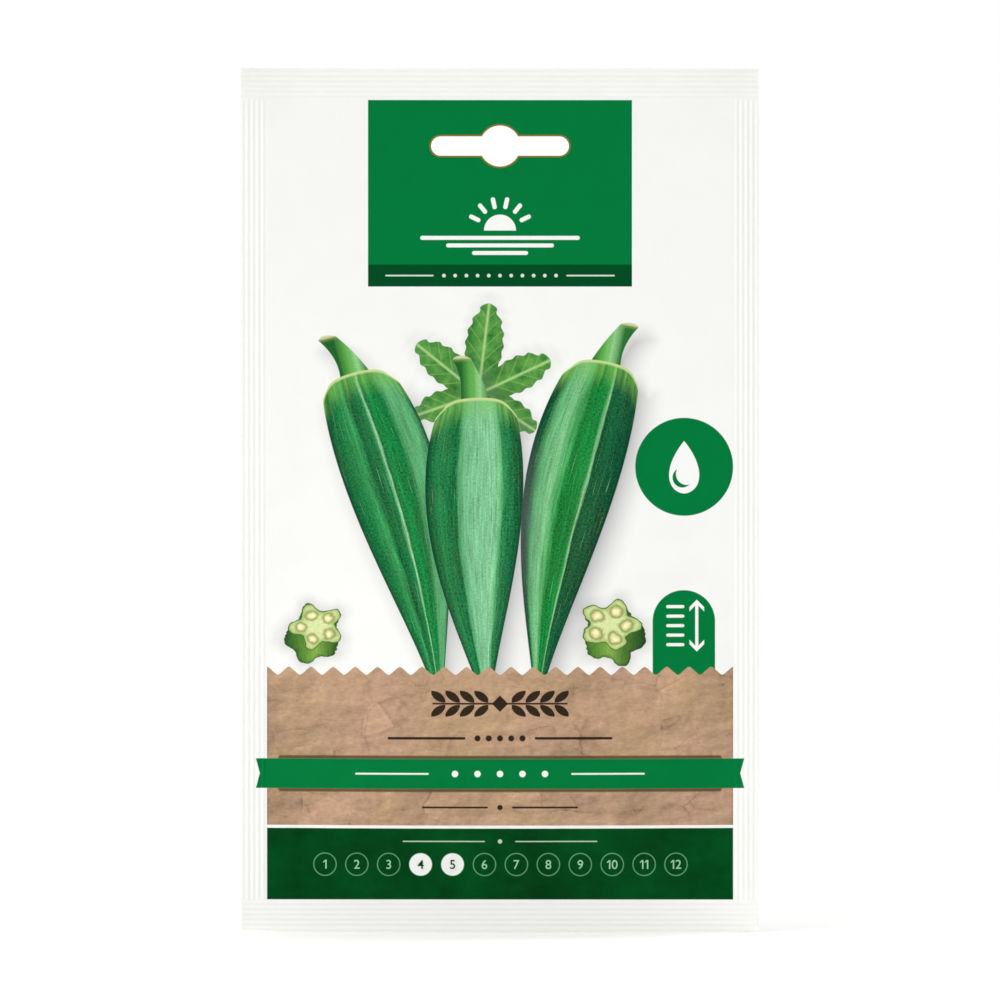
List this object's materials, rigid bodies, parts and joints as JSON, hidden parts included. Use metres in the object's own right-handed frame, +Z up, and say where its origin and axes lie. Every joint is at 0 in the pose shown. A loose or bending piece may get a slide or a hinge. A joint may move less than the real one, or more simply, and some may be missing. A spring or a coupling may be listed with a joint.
{
  "type": "seed packet",
  "caption": "Flat heat-sealed paper seed packet with a hang slot in its sealed header, filled out towards the bottom by loose seeds inside.",
  "frame": {"origin": "centre of the hang slot, on the packet's middle plane", "axes": "+Z up along the packet's height, +X to the right as seen from the front, the printed front faces -Y"},
  "size_m": [0.12, 0.0098, 0.2],
  "materials": {
    "front_paper": "satin",
    "back_paper": "satin",
    "seed_coat": "matte"
  },
  "bodies": {
    "root": {"front_panel": "front_paper", "back_panel": "back_paper", "seeds": "seed_coat"}
  },
  "joints": []
}
